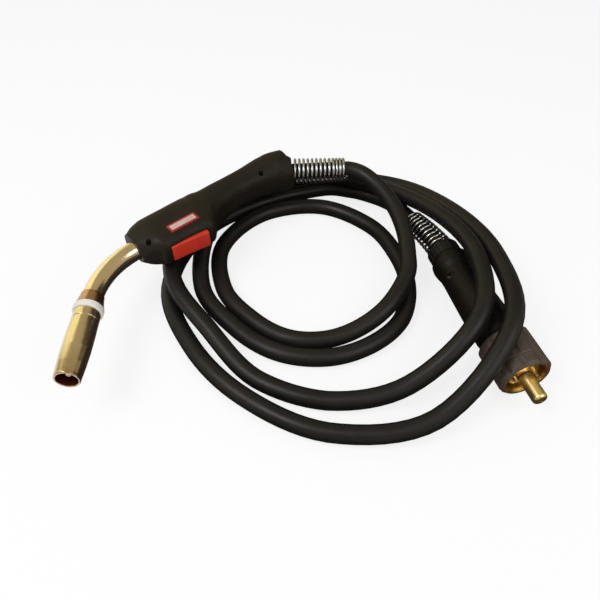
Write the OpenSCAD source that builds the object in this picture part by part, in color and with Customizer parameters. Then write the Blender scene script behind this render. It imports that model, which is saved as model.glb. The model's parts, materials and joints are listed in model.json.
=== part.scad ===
// MIG welding torch with its coiled lead and its plug, lying on a flat surface.
// Millimetres, +Z up. The origin is on the surface, below the middle of the grip.
// Torch coordinates: s runs from the handle's front face to its rear, q runs to the
// side away from the trigger, z runs up from the plane where the two shells meet.

/* [Layout] */
// Height of the plane where the handle's shells meet, above the surface
lay_z = 58; // [58:0.5:70]
// Heading of the handle from its front to its rear, anticlockwise from +X
grip_heading = 42; // [41:0.25:43]
// Distance from the handle's front face to the point above the origin
grip_mid = 108; // [100:1:116]

/* [Neck] */
// Outer diameter of the neck's metal tube
neck_od = 20; // [18:0.5:22]
// Wall of the neck's metal tube
neck_wall = 1; // [0.8:0.1:1.4]
// Bend radius of the neck's centre line
neck_r = 87; // [70:1:110]
// Angle that the neck bends through
neck_bend = 48; // [30:1:60]
// Outer diameter of the current-carrying tube in the neck
core_od = 14; // [12:0.5:14.5]
// Inner diameter of the current-carrying tube
core_id = 6; // [5.4:0.2:8]
// Outer diameter of the wire liner
liner_od = 4.6; // [4:0.1:4.8]
// Inner diameter of the wire liner
liner_id = 2.4; // [1.6:0.1:3]
// Length of the flared ferrule in front of the neck
ferrule_len = 12; // [10:1:14]
// Diameter of the ferrule's wide front end
ferrule_od = 26.5; // [25:0.5:28]

/* [Nozzle] */
// Length of the gas nozzle
nozzle_len = 72; // [64:1:84]
// Diameter of the nozzle in its middle
nozzle_od = 25.6; // [25:0.2:28]
// Diameter of the nozzle at its rear end
nozzle_rear_od = 24.6; // [24.2:0.2:25]
// Diameter of the nozzle at its mouth
mouth_od = 23; // [22:0.5:24]
// Bore of the nozzle at its mouth
mouth_id = 18.5; // [17.5:0.5:19.5]
// Distance from the nozzle's rear face to the ring line round it
ring_line_at = 9; // [6:0.5:14]
// Diameter of the white insulating ring
ring_od = 28; // [27:0.5:31]
// Length of the insulating ring that shows
ring_len = 7; // [5.5:0.5:10]
// Diameter of the insulating sleeve inside the nozzle
sleeve_od = 20.8; // [20.4:0.2:21.4]
// Length of the insulating sleeve inside the nozzle
sleeve_len = 18; // [16:1:24]
// Diameter of the contact tip
tip_od = 8; // [6:0.5:10]
// Bore of the contact tip
tip_bore = 1.2; // [0.8:0.1:1.8]
// Distance that the contact tip stays behind the nozzle's mouth
tip_recess = 5; // [3:0.5:8]
// Length of the contact tip in front of its holder
tip_len = 32; // [28:1:36]
// Holes round the gas diffuser
gas_holes = 8; // [6:1:10]

/* [Handle] */
// Length of the handle from its front face to its rear rim
handle_len = 199; // [190:1:210]
// Distance from the handle's axis to its back side
back_side = 25; // [24:0.5:28]
// Distance from the handle's axis to the front side beside the trigger
front_side = 30; // [29:0.5:32]
// Distance from the handle's axis to the tip of the guard behind the trigger
guard_side = 33.5; // [32:0.5:36]
// Distance from the handle's axis to the front side of the grip
grip_side = 8; // [8:0.5:11]
// Half thickness of the handle beside the trigger
body_half = 18.8; // [18:0.1:19]
// Half thickness of the grip
grip_half = 17.5; // [16:0.5:18.5]
// Diameter of the round boss at the handle's rear
boss_od = 48; // [47:0.5:50]
// Angle that the rear rim is turned towards the lead
rim_turn = 10; // [6:1:12]
// Diameter of the screws that hold the shells together
screw_d = 3; // [2.5:0.5:3.5]
// Diameter of the heads of the shell screws
screw_head_d = 5.4; // [5:0.2:6]

/* [Trigger] */
// Distance from the handle's front face to the trigger's front end
trigger_at = 25; // [24:0.5:27]
// Length of the trigger
trigger_len = 42; // [38:0.5:43]
// Width of the trigger
trigger_w = 18; // [14:0.5:20]
// Diameter of the trigger's pivot pin
pivot_d = 3; // [2.5:0.25:4]
// Length of the micro-switch
switch_len = 20; // [18:0.5:21]
// Width of the micro-switch
switch_w = 6.4; // [5.6:0.2:7]
// Height of the micro-switch, towards the trigger
switch_h = 9; // [8:0.25:9.25]

/* [Label] */
// Length of the bare label plate
label_len = 34; // [28:1:36]
// Width of the bare label plate
label_w = 12; // [9:0.5:12.5]

/* [Lead] */
// Outer diameter of the lead
cable_od = 18; // [17:0.1:18]
// Angle from the handle's axis to the lead where it leaves the handle
lead_turn = 38; // [37:0.25:39]
// Diameter of the swivel ball in the handle's rear
ball_d = 40; // [39:0.5:40.5]
// Outer diameter of the spring behind the handle
grip_spring_od = 30; // [28:0.5:30]
// Outer diameter of that spring at its free end
grip_spring_tail = 27; // [26:0.5:28]
// Wire diameter of the spring behind the handle
grip_spring_wire = 3; // [2.4:0.2:3]
// Turns of the spring behind the handle
grip_spring_turns = 13; // [10:1:14]
// Length of the spring behind the handle
grip_spring_len = 66; // [62:0.5:68]
// Diameter of the lead's inner bundle inside the handle
bundle_d = 11; // [9:0.5:11.5]

/* [Plug] */
// Outer diameter of the plug's nut
nut_od = 51; // [50:0.5:52]
// Length of the plug's nut
nut_len = 44; // [40:1:46]
// Bore of the brass thread ring in the nut
thread_d = 40; // [38:0.5:41]
// Distance from the plug spring's end to the nut's front face
plug_len = 174; // [170:1:178]
// Heading of the plug, anticlockwise from +X
plug_heading = -73.3; // [-74:0.1:-72]
// Diameter of the plug's housing in its middle
housing_od = 42; // [40:0.5:43]
// Diameter of the brass block in the plug
block_d = 30; // [28:0.5:32]
// Distance that the brass block's face stays behind the nut's face
block_recess = 6; // [4:0.5:8]
// Diameter of the brass pin
pin_d = 14; // [12:0.2:14.6]
// Length of the brass pin in front of the nut
pin_reach = 24; // [20:1:30]
// Diameter of the sprung contact pins
contact_d = 4; // [3:0.25:4.5]
// Travel of the sprung contact pins
contact_travel = 3; // [2:0.5:4]
// Larger outer diameter of the spring behind the plug
plug_spring_od = 30; // [29:0.5:31]
// Smaller outer diameter of the spring behind the plug
plug_spring_tail = 25.4; // [25:0.1:27]
// Wire diameter of the spring behind the plug
plug_spring_wire = 2.2; // [1.8:0.2:2.4]
// Turns of the spring behind the plug
plug_spring_turns = 10; // [8:1:11]

/* [Hidden] */
$fn = 64;

// Clearances
seat_gap = 0.1;      // between pieces seated in each other
slide_gap = 0.3;     // between pieces that pass each other
pin_gap = 0.05;      // radial, round a pin that turns or slides
cut = 1;             // how far a cutting solid runs past a face
far = 400;           // size of a cutting half space

// Neck and front end, measured forwards from the end of the neck's bend
core_end = ferrule_len + 2;
ring_end = ferrule_len + ring_len;
mouth_at = ring_end + nozzle_len;
tip_end = mouth_at - tip_recess;
tip_start = tip_end - tip_len;
holder_r = tip_od / 2 + 1.5;
holder_flange = 3;
diffuser_at = ring_end + 1;
diffuser_len = 12;
stub_len = 7;
stub_r = tip_od * 0.36;
clip_at = ring_end + ring_line_at;
clip_wire = 1;
clip_r = sleeve_od / 2 - 0.3;
neck_tail = 12;      // length of the neck's tube inside the handle
nut_at = 14;         // front of the neck nut
nut_depth = 16;
block_at = nut_at + nut_depth + 1;
block_len = 41;
block_end = block_at + block_len;
neck_nut_r = 12;
power_r = 10;
core_lap = 9;        // depth of the current-carrying tube in the power block

// Handle
ball_sunk = 5.5;     // ball's centre inside the rear rim
ball_at = handle_len - ball_sunk;
ball_r = ball_d / 2;
ball_flat = 12.5;    // distance from the ball's centre to its rear flat
ball_bore_depth = 11;
trigger_end = trigger_at + trigger_len;
trigger_half = trigger_w / 2;
guard_run = 8;       // from the trigger's end to the tip of the guard
guard_fall = 18;     // from the guard's tip down to the grip
grip_from = 34;
grip_narrow = 54;    // from the guard's tip to the grip's narrowest part
swell_from = 49;     // start of the swell to the boss, before the rear rim
swell_mid = 33;
boss_from = 21;      // start of the boss, before the rear rim
boss_full = 11;
boss_past = 8;
boss_dip = 7;        // how much the boss's start lies inside the boss
boss_drop = 6;       // how much the back side falls away past the rear rim
guard_at = trigger_end + guard_run;
round_body = 3.4;    // how square the sections are, 2 being an ellipse
round_grip = 2.6;
round_boss = 2.2;
// Sections of the handle: s, side towards the trigger, back side, half thickness, squareness
sections = [
    [0, -14, back_side - 5, body_half - 6, round_grip],
    [3, -16.5, back_side - 4.5, body_half - 3.8, round_grip],
    [8, -20, back_side - 3.5, body_half - 2, round_body],
    [15, -front_side + 5, back_side - 1.5, body_half - 0.5, round_body],
    [trigger_at - 3, -front_side, back_side, body_half, round_body],
    [(trigger_at + trigger_end) / 2, -front_side - 0.5, back_side + 0.5, body_half, round_body],
    [trigger_end + 1, -guard_side + 1, back_side + 1, body_half, round_body],
    [guard_at, -guard_side, back_side + 1, body_half - 0.4, round_body],
    [guard_at + guard_run, -guard_side + 8, back_side + 1, body_half - 0.8, round_body],
    [guard_at + guard_fall, -grip_side - 9, back_side + 0.7, grip_half, round_grip],
    [guard_at + grip_from, -grip_side - 2, back_side + 0.3, grip_half, round_grip],
    [guard_at + grip_narrow, -grip_side, back_side, grip_half, round_grip],
    [handle_len - swell_from, -grip_side - 1, back_side + 0.5, grip_half + 0.5, round_grip],
    [handle_len - swell_mid, -grip_side - 3.5, back_side + 1.5, grip_half + 2, round_grip],
    [handle_len - boss_from, -boss_od / 2 + boss_dip, back_side + 2.5, boss_od / 2 - 2, round_boss],
    [handle_len - boss_full, -boss_od / 2 + 2, back_side + 1, boss_od / 2, round_boss],
    [handle_len + boss_past, -boss_od / 2 + 1, back_side - boss_drop, boss_od / 2, round_boss]
];
section_steps = 2;
section_points = 12;
screw_front = 9.6;   // from the front rim to the front screw
screw_rear = 37;     // from the rear screw to the rear rim
screw_places = [[screw_front, -14.6], [handle_len - screw_rear, -3.6]];
screw_seat = 10;     // height of the screw heads' seats above the split plane
screw_depth = 10;    // depth of the screws below the split plane
screw_head_h = 2;
label_along = 25;    // from the trigger's front to the label's middle
label_at = [trigger_at + label_along, -15.4];
label_floor = body_half - 1.4;
label_t = 1.2;
// Path of the lead's inner bundle in the handle, as s and q
bundle_start = 6;    // straight run of the bundle behind the power block
bundle_turn = 43;    // from the power block to the bundle's first bend
bundle_side = 6;
bundle_tail = 34;    // from the bundle's last bend to the rear rim
bundle_sunk = 6;     // end of the bundle in front of the ball's centre
bundle_path = [
    [block_end, 0], [block_end + bundle_start, 0], [block_end + bundle_turn, bundle_side],
    [handle_len - bundle_tail, bundle_side], [ball_at - bundle_sunk, 0]
];
bundle_gap = 0.4;
wire_r = 0.8;
wire_rise = bundle_d / 2 + wire_r + bundle_gap;
wire_apart = 1.2;
wire_room = 0.9;     // round the wires in the shells
wire_past = 3;       // how far the wires pass the power block before they rise
wire_climb = 7;      // length of the rise, and of the crossing to the bundle
wire_sunk = 0.6;     // ends of the wires in the ball
wire_back = 2.5;     // how far the wires come back towards the axis there
wire_tail = 2;       // room in the shells past the wires' ends

// Trigger
pivot_s = trigger_at + 5;
pivot_q = -26.5;
pivot_half = trigger_half + 2.4;
slot_q = -19.8;      // inner end of the trigger's slot
finger_front = 31.2; // finger face to the handle's axis at the trigger's front
finger_rear = 37;    // the same at its rear
trigger_inner = -24;
switch_along = 17;   // from the trigger's front to the switch
switch_at = trigger_at + switch_along;
switch_q = -20;      // face of the switch that the plunger leaves
plunger_s = switch_at + switch_len / 2;
plunger_reach = 2.4;
plunger_r = 1.4;
rib_half = 2;
rib_side = 3;        // half width of the trigger's rib, across it
rib_room = 4;        // half width of the pocket round the plunger
coil_r = pivot_d / 2 + 1.6;
coil_h = 5;
leg_t = 1;          // leg of the trigger's spring
leg_len = 6.4;
leg_room = 8;
slot_front = 0.5;    // gap in front of the trigger
slot_rear = 1.2;     // gap behind it, where it swings nearer

// Lead: the coil's reach and height over the surface at each clock hour, seen from
// above, with 12 towards +Y and the hours running on clockwise, loop after loop
cable_r = cable_od / 2;
coil_centre = [111, -80];
first_hour = 3;
reach = [
    [86, 74, 68, 69, 76, 85, 106, 130, 139],
    [134, 115, 97, 90, 89, 87, 90, 96, 105, 129, 146, 166],
    [174, 158, 150, 153, 160, 148, 138, 132, 131, 158, 180, 180],
    [190, 187, 171, 173, 189, 188, 170, 154, 152, 164, 164, 159],
    [168]
];
rise = [
    [30, 25, 16, 10, 9, 9, 9, 9, 9],
    [9, 9, 9, 9, 9, 9, 9, 9, 9, 12, 28, 28],
    [28, 33, 47, 58, 57, 20, 9, 9, 21, 29, 27, 12],
    [9, 20, 42, 57, 63, 20, 9, 9, 9, 9, 9, 9],
    [9]
];
// Points where the lead isn't coiled: from the handle's spring, and to the plug's spring
lead_in = [
    [142, 63, 58], [157, 57, 57], [171, 44, 54], [184, 25, 50], [194, 2, 45],
    [200, -24, 39], [201, -50, 33.5]
];
lead_out = [
    [149, 85, 9], [175, 74, 9.5], [193, 59, 12], [205, 40, 16], [216, 17, 19.5],
    [229, -10, 23.5], [241, -38.5, 25.5]
];
strand_flat = tan(30);   // half width of a strand's flat top and bottom, over its half height
edge_tilt = 22.9;        // tilt of a strand's side faces from upright, in degrees
straight_end = 15;       // straight run of the lead beside its first and last curve

// Plug
plug_at = lead_out[len(lead_out) - 1];
collar_len = 14;
bulge_od = housing_od - 0.4;
bulge_len = 22;      // from the collar past the bulge to the waist
waist_od = housing_od - 4;
nut_start = plug_len - nut_len;
nut_lip = 9;
nut_wall = 3.2;
insert_len = 22;
insert_r = nut_od / 2 - nut_wall;
nose_r = 20;
nose_end = nut_start + nut_lip + slide_gap + 3;
nose_start = nut_start - 3;
clip_t = 2;
block_face = plug_len - block_recess;
terminal_at = 20;
terminal_len = 40;
plug_lead_len = 40;
lead_lap = 6;        // depth of the plug's lead in what holds it
plug_lead_r = 6;
block_start = terminal_at + terminal_len + plug_lead_len;
flange_at = nose_start - 8;
flange_t = 6;
flange_r = 17;
contact_ring = 10.6;     // radius at which the contact pins stand
contact_stand = 7;
contact_depth = 12;
contact_room = 1;        // left behind a contact pin that is pushed right in
pin_shank = 19;          // length of the pin's shank in the block
pin_shank_r = pin_d / 2 - 2;
flutes = 10;
flute_r = 5;
shell_screws = [46, 100];
shell_screw_side = 14.5;
shell_screw_seat = 6;    // height of the heads' seats above the split
shell_screw_depth = 8;

function unit(v) = v / norm(v);
function turned(v, a) = [v[0] * cos(a) - v[1] * sin(a), v[0] * sin(a) + v[1] * cos(a)];

// Point in the row's plan of a point given by s and q
function torch_plan(p) = turned([p[0] - grip_mid, p[1]], grip_heading);

// Value between b and c of a smooth curve through a, b, c and d
function blend(a, b, c, d, t) =
    b + 0.5 * t * (c - a + t * (2 * a - 5 * b + 4 * c - d + t * (3 * (b - c) + d - a)));

// Point number u on the smooth curve through a list, whose ends only give direction
function spline(list, u) =
    let (i = min(max(floor(u), 1), len(list) - 3))
    blend(list[i - 1], list[i], list[i + 1], list[i + 2], u - i);

// Faces of a closed skin over rings of n points each
function skin_faces(rings, n) = concat(
    [[for (j = [n - 1:-1:0]) j]],
    [[for (j = [0:n - 1]) (rings - 1) * n + j]],
    [for (k = [0:rings - 2], j = [0:n - 1])
        let (a = k * n + j, b = k * n + (j + 1) % n)
        [a, b, b + n]],
    [for (k = [0:rings - 2], j = [0:n - 1])
        let (a = k * n + j, b = k * n + (j + 1) % n)
        [a, b + n, a + n]]
);

module skin(rings) {
    n = len(rings[0]);
    polyhedron([for (r = rings) each r], skin_faces(len(rings), n), convexity = 10);
}

// A bent pipe between two sets of rings, with a flat annular face at each end
module pipe(outer, inner) {
    n = len(outer[0]);
    last = len(outer) - 1;
    inside = n * (last + 1);
    polyhedron(
        concat([for (r = outer) each r], [for (r = inner) each r]),
        concat(
            [for (k = [0:last - 1], j = [0:n - 1], half = [0, 1])
                let (a = k * n + j, b = k * n + (j + 1) % n)
                half == 0 ? [a, b, b + n] : [a, b + n, a + n]],
            [for (k = [0:last - 1], j = [0:n - 1], half = [0, 1])
                let (a = inside + k * n + j, b = inside + k * n + (j + 1) % n)
                half == 0 ? [b, a, b + n] : [b + n, a, a + n]],
            [for (k = [0, last], j = [0:n - 1], half = [0, 1])
                let (
                    a = k * n + j,
                    b = k * n + (j + 1) % n,
                    face = half == 0 ? [b, a, inside + a] : [b, inside + a, inside + b]
                )
                k == 0 ? face : [face[2], face[1], face[0]]]
        ),
        convexity = 10
    );
}

// ---------------------------------------------------------------- frames of reference

module in_torch() {
    translate([0, 0, lay_z]) rotate([0, 0, grip_heading]) translate([-grip_mid, 0, 0]) children();
}

// +Z runs rearwards along the handle's axis, from s
module along_handle(s = 0) {
    in_torch() translate([s, 0, 0]) rotate([0, 90, 0]) children();
}

// +Z runs forwards along the nozzle's axis, from the end of the neck's bend
module along_nozzle(h = 0) {
    in_torch()
        translate([-neck_r * sin(neck_bend), -neck_r * (1 - cos(neck_bend)), 0])
            rotate([0, 0, neck_bend]) rotate([0, -90, 0]) translate([0, 0, h]) children();
}

// +Z runs along the lead where it leaves the swivel ball, from the ball's centre
module along_ball(d = 0) {
    in_torch()
        translate([ball_at, 0, 0]) rotate([0, 0, -lead_turn]) rotate([0, 90, 0])
            translate([0, 0, d]) children();
}

// +Z runs forwards along the plug's axis, from the end of its spring
module along_plug(d = 0) {
    translate([plug_at[0], plug_at[1], nut_od / 2])
        rotate([0, 0, plug_heading]) rotate([0, 90, 0]) translate([0, 0, d]) children();
}

// A turned ring with its ends on z = 0 and z = length
module ring(outer, inner, length, fn = 64) {
    rotate_extrude($fn = fn) translate([inner, 0]) square([outer - inner, length]);
}

// Rings of a round rod through a list of points, mitred at its bends
function rod_rings(points, r, sides) =
    let (last = len(points) - 1)
    [for (i = [0:last])
        let (
            back = unit(points[max(i, 1)] - points[max(i, 1) - 1]),
            on = unit(points[min(i, last - 1) + 1] - points[min(i, last - 1)]),
            along = unit(back + on),
            side = unit(cross(along, [0, 0, 1])),
            up = cross(side, along)
        )
        [for (j = [0:sides - 1]) let (a = 360 * (j + 0.5) / sides)
            points[i] + (side * cos(a) + up * sin(a)) * r]];

module rod(points, r, sides = 16) {
    skin(rod_rings(points, r, sides));
}

// ---------------------------------------------------------------- front end

nozzle_bore_r = sleeve_od / 2 + slide_gap - 0.05;

module gas_nozzle() {
    lip = 1.1;
    rear_r = nozzle_rear_od / 2;
    middle_r = nozzle_od / 2;
    mouth_r = mouth_od / 2;
    groove = 0.5;
    seat_depth = sleeve_len + 2;
    color("silver") along_nozzle(ring_end) rotate_extrude($fn = 96) polygon(concat(
        [
            [nozzle_bore_r, 0],
            [rear_r - groove, 0],
            [rear_r, groove],
            [rear_r, ring_line_at - groove],
            [rear_r - groove, ring_line_at],
            [rear_r, ring_line_at + groove],
            [rear_r + (middle_r - rear_r) * 0.8, nozzle_len * 0.3],
            [middle_r, nozzle_len * 0.45],
            [middle_r, nozzle_len * 0.58],
            [middle_r - (middle_r - mouth_r) * 0.4, nozzle_len * 0.8],
            [mouth_r, nozzle_len - 3]
        ],
        [for (a = [0:30:180]) [
            (mouth_r + mouth_id / 2) / 2 + (mouth_r - mouth_id / 2) / 2 * cos(a),
            nozzle_len - lip + lip * sin(a)
        ]],
        [
            [mouth_id / 2, seat_depth + 1],
            [nozzle_bore_r, seat_depth]
        ]
    ));
}

module nozzle_clip() {
    color("dimgray") along_nozzle(clip_at)
        rotate_extrude() translate([clip_r, 0]) circle(d = clip_wire, $fn = 24);
}

module insulator_ring() {
    bevel = 1;
    color("white") along_nozzle(ferrule_len) difference() {
        rotate_extrude() polygon([
            [core_od / 2 + seat_gap, 0],
            [ring_od / 2 - bevel, 0],
            [ring_od / 2, bevel],
            [ring_od / 2, ring_len - bevel],
            [ring_od / 2 - bevel, ring_len],
            [sleeve_od / 2, ring_len],
            [sleeve_od / 2, ring_len + sleeve_len],
            [holder_r + 3 + seat_gap, ring_len + sleeve_len],
            [holder_r + 3 + seat_gap, 4],
            [core_od / 2 + seat_gap, 4]
        ]);
        translate([0, 0, clip_at - ferrule_len])
            rotate_extrude() translate([clip_r, 0]) circle(d = clip_wire + seat_gap, $fn = 24);
    }
}

module neck_ferrule() {
    overlap = 2;
    color("silver") along_nozzle(-overlap) rotate_extrude() polygon([
        [neck_od / 2 + seat_gap, 0],
        [neck_od / 2 + 0.9, 0],
        [neck_od / 2 + 1.2, 3],
        [ferrule_od / 2 - 0.6, overlap + ferrule_len - 3],
        [ferrule_od / 2, overlap + ferrule_len - 1.5],
        [ferrule_od / 2, overlap + ferrule_len],
        [neck_od / 2 - neck_wall, overlap + ferrule_len],
        [neck_od / 2 - neck_wall, overlap * 2],
        [neck_od / 2 + seat_gap, overlap * 2]
    ]);
}

module gas_diffuser() {
    hole_r = 0.9;
    color("ivory") along_nozzle(diffuser_at) difference() {
        ring(holder_r + 3, holder_r + seat_gap, diffuser_len);
        for (i = [0:gas_holes - 1])
            rotate([0, 0, i * 360 / gas_holes]) translate([holder_r + 1.6, 0, -cut])
                cylinder(r = hole_r, h = diffuser_len + 2 * cut, $fn = 24);
    }
}

module tip_holder() {
    color("goldenrod") along_nozzle(core_end) difference() {
        union() {
            cylinder(d = core_od, h = holder_flange);
            cylinder(r = holder_r, h = tip_start - core_end);
        }
        translate([0, 0, -cut]) cylinder(r = liner_od / 2 + seat_gap, h = far);
        translate([0, 0, tip_start - core_end - stub_len - seat_gap])
            cylinder(r = stub_r + seat_gap, h = far);
    }
}

module contact_tip() {
    taper = 6;
    color("darkorange") along_nozzle(tip_start - stub_len) difference() {
        rotate_extrude() polygon([
            [0, 0],
            [stub_r, 0],
            [stub_r, stub_len],
            [tip_od / 2, stub_len],
            [tip_od / 2, stub_len + tip_len - taper],
            [tip_od / 2 - 1.6, stub_len + tip_len - 0.4],
            [tip_od / 2 - 2, stub_len + tip_len],
            [0, stub_len + tip_len]
        ]);
        translate([0, 0, -cut]) cylinder(d = tip_bore, h = far, $fn = 32);
    }
}

// Path of the neck's centre line: a straight tail in the handle, the bend, a straight nose
function neck_path(tail, nose) = concat(
    [[tail, 0, 0]],
    [for (a = [0:neck_bend / 10:neck_bend]) [-neck_r * sin(a), neck_r * (cos(a) - 1), 0]],
    [[
        -neck_r * sin(neck_bend) - nose * cos(neck_bend),
        neck_r * (cos(neck_bend) - 1) - nose * sin(neck_bend),
        0
    ]]
);

module neck_pipe(outer, inner, tail, nose) {
    path = neck_path(tail, nose);
    in_torch() pipe(rod_rings(path, outer, 24), rod_rings(path, inner, 24));
}

module neck_tube() {
    color("gainsboro") neck_pipe(neck_od / 2, neck_od / 2 - neck_wall, neck_tail, 1.9);
}

module neck_insulation() {
    color("tan")
        neck_pipe(neck_od / 2 - neck_wall - seat_gap, core_od / 2 + seat_gap, neck_tail + 1, ferrule_len);
}

module neck_conductor() {
    color("goldenrod") neck_pipe(core_od / 2, core_id / 2, block_at + core_lap, core_end);
}

module neck_liner() {
    color("lightgray") neck_pipe(liner_od / 2, liner_id / 2, block_end - 1, tip_start - stub_len - 2);
}

// ---------------------------------------------------------------- inside the handle

module neck_nut() {
    color("goldenrod") along_handle(nut_at) difference() {
        cylinder(r = neck_nut_r, h = nut_depth, $fn = 6);
        translate([0, 0, -cut]) cylinder(d = core_od + 2 * seat_gap, h = far);
    }
}

module power_block() {
    color("goldenrod") along_handle(block_at) difference() {
        cylinder(r = power_r, h = block_len);
        translate([0, 0, -cut]) cylinder(d = core_od + 2 * seat_gap, h = core_lap + cut + seat_gap);
        translate([0, 0, -cut]) cylinder(r = liner_od / 2 + seat_gap, h = block_len + cut - 0.9);
    }
}

module inner_lead() {
    color("dimgray") in_torch() rod([for (p = bundle_path) [p[0], p[1], 0]], bundle_d / 2);
}

// Path of one switch wire, over the bundle, and on past its end for its room
function wire_path(side, tail = 0) = let (s = block_end + wire_past - side * wire_apart / 2) [
    [switch_at + switch_len, switch_q + switch_h / 2 + side * wire_apart, 0],
    [s, switch_q + switch_h / 2 + side * wire_apart, 0],
    [s + wire_climb, -power_r + side * wire_apart, wire_rise],
    [s + 2 * wire_climb, side * wire_apart, wire_rise],
    [bundle_path[2][0], bundle_side + side * wire_apart, wire_rise],
    [bundle_path[3][0], bundle_side + side * wire_apart, wire_rise],
    [ball_at - ball_r + wire_sunk + tail, bundle_side - wire_back + side * wire_apart, wire_rise]
];

module switch_wires() {
    color("black") in_torch() for (side = [-1, 1]) rod(wire_path(side), wire_r, 8);
}

// Room for the working parts, cut from both shells
module handle_cavity() {
    rotate([0, 90, 0]) {
        translate([0, 0, -cut]) cylinder(d = neck_od + 2 * seat_gap, h = nut_at + cut);
        translate([0, 0, nut_at]) cylinder(r = neck_nut_r + seat_gap, h = nut_depth + seat_gap);
        translate([0, 0, nut_at]) cylinder(r = power_r + seat_gap, h = block_end - nut_at + 2);
    }
    translate([trigger_at - slot_front, -far, -trigger_half - slide_gap])
        cube([trigger_len + slot_front + slot_rear, far + slot_q, trigger_w + 2 * slide_gap]);
    translate([switch_at - seat_gap, switch_q - cut, -switch_w / 2 - seat_gap])
        cube([switch_len + 2 * seat_gap, switch_h + cut + seat_gap, switch_w + 2 * seat_gap]);
    translate([plunger_s - rib_room, switch_q - rib_room, -rib_room])
        cube([2 * rib_room, rib_room + seat_gap, 2 * rib_room]);
    rod([for (p = bundle_path) [p[0], p[1], 0]], bundle_d / 2 + bundle_gap);
    rod(wire_path(0, wire_tail), wire_apart + wire_r + wire_room, 8);
    translate([ball_at, 0, 0]) sphere(r = ball_r + slide_gap, $fn = 96);
    translate([pivot_s, pivot_q, -pivot_half - seat_gap])
        cylinder(d = pivot_d, h = 2 * (pivot_half + seat_gap), $fn = 48);
    translate([pivot_s, pivot_q + coil_r + 2, -coil_h / 2 - seat_gap])
        cube([leg_t * 2 + seat_gap * 2, leg_room, coil_h + 2 * seat_gap]);
    for (p = screw_places) translate([p[0], p[1], -screw_depth])
        cylinder(d = screw_d, h = screw_depth + screw_seat + cut, $fn = 32);
}

// Half ring of one section, from the trigger's side over the top to the back side
function half_ring(c) =
    let (mid = (c[1] + c[2]) / 2, half = (c[2] - c[1]) / 2, e = 2 / c[4])
    [for (i = [0:section_points])
        let (a = 180 - 180 * i / section_points)
        [c[0], mid + half * sign(cos(a)) * pow(abs(cos(a)), e), c[3] * pow(max(sin(a), 0), e)]];

module handle_half() {
    last = len(sections) - 1;
    padded = concat(
        [2 * sections[0] - sections[1]],
        sections,
        [2 * sections[last] - sections[last - 1]]
    );
    steps = last * section_steps;
    difference() {
        skin([for (k = [0:steps]) half_ring(spline(padded, 1 + k / section_steps))]);
        translate([handle_len, 0, 0]) rotate([0, 0, -rim_turn])
            translate([0, -far / 2, -far / 2]) cube([far, far, far]);
    }
}

module handle_upper() {
    color([0.16, 0.14, 0.13]) in_torch() difference() {
        handle_half();
        handle_cavity();
        for (p = screw_places) translate([p[0], p[1], screw_seat])
            cylinder(d = screw_head_d + 2 * seat_gap, h = far, $fn = 48);
        translate([label_at[0] - label_len / 2, label_at[1] - label_w / 2, label_floor])
            cube([label_len, label_w, far]);
    }
}

module handle_lower() {
    color([0.16, 0.14, 0.13]) in_torch() difference() {
        mirror([0, 0, 1]) handle_half();
        handle_cavity();
    }
}

module handle_screws() {
    slot_w = 0.8;
    color("dimgray") in_torch() for (p = screw_places) translate([p[0], p[1], 0]) difference() {
        union() {
            translate([0, 0, -screw_depth + 0.5])
                cylinder(d = screw_d, h = screw_depth + screw_seat - 0.5, $fn = 32);
            translate([0, 0, screw_seat]) cylinder(d = screw_head_d, h = screw_head_h, $fn = 48);
        }
        for (a = [0, 90]) rotate([0, 0, a])
            translate([-screw_d / 2, -slot_w / 2, screw_seat + screw_head_h / 2])
                cube([screw_d, slot_w, screw_head_h]);
    }
}

module label_plate() {
    inset = seat_gap;
    color("mistyrose") in_torch()
        translate([label_at[0] - label_len / 2 + inset, label_at[1] - label_w / 2 + inset, label_floor])
            cube([label_len - 2 * inset, label_w - 2 * inset, label_t]);
}

// ---------------------------------------------------------------- trigger and switch

module trigger() {
    nose = 2;
    color("firebrick") in_torch() difference() {
        translate([0, 0, -trigger_half]) linear_extrude(trigger_w) polygon([
            [trigger_at, trigger_inner + 1],
            [trigger_at, -finger_front + nose],
            [trigger_at + nose, -finger_front],
            [trigger_at + trigger_len * 0.35, -finger_front - 1.2],
            [trigger_at + trigger_len * 0.7, -finger_front - 3.4],
            [trigger_end - 2, -finger_rear],
            [trigger_end, -finger_rear + 2],
            [trigger_end, trigger_inner],
            [plunger_s + rib_half, trigger_inner],
            [plunger_s + rib_half, switch_q - plunger_reach - slide_gap],
            [plunger_s - rib_half, switch_q - plunger_reach - slide_gap],
            [plunger_s - rib_half, trigger_inner],
            [pivot_s + coil_r + 3, trigger_inner],
            [pivot_s + 1, trigger_inner + 1]
        ]);
        translate([pivot_s, pivot_q, -far / 2])
            cylinder(d = pivot_d + 2 * pin_gap, h = far, $fn = 48);
        translate([pivot_s, pivot_q, -coil_h / 2 - slide_gap])
            cylinder(r = coil_r + slide_gap + 0.2, h = coil_h + 2 * slide_gap, $fn = 48);
        translate([pivot_s - coil_r - 1, pivot_q, -coil_h / 2 - slide_gap])
            cube([2 * coil_r + 4, far, coil_h + 2 * slide_gap]);
        for (z = [-1, 1])
            translate([
                plunger_s - rib_half - cut,
                trigger_inner,
                z > 0 ? rib_side : -trigger_half - cut
            ])
                cube([2 * rib_half + 2 * cut, far, trigger_half - rib_side + cut]);
    }
}

module trigger_pin() {
    color("silver") in_torch() translate([pivot_s, pivot_q, -pivot_half])
        cylinder(d = pivot_d, h = 2 * pivot_half, $fn = 48);
}

module trigger_spring() {
    color("silver") in_torch() translate([pivot_s, pivot_q, -coil_h / 2]) {
        ring(coil_r, pivot_d / 2 + 0.4, coil_h, 48);
        translate([coil_r - leg_t * 1.6, 0, 0]) cube([leg_t, leg_len, leg_t]);
    }
}

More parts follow.
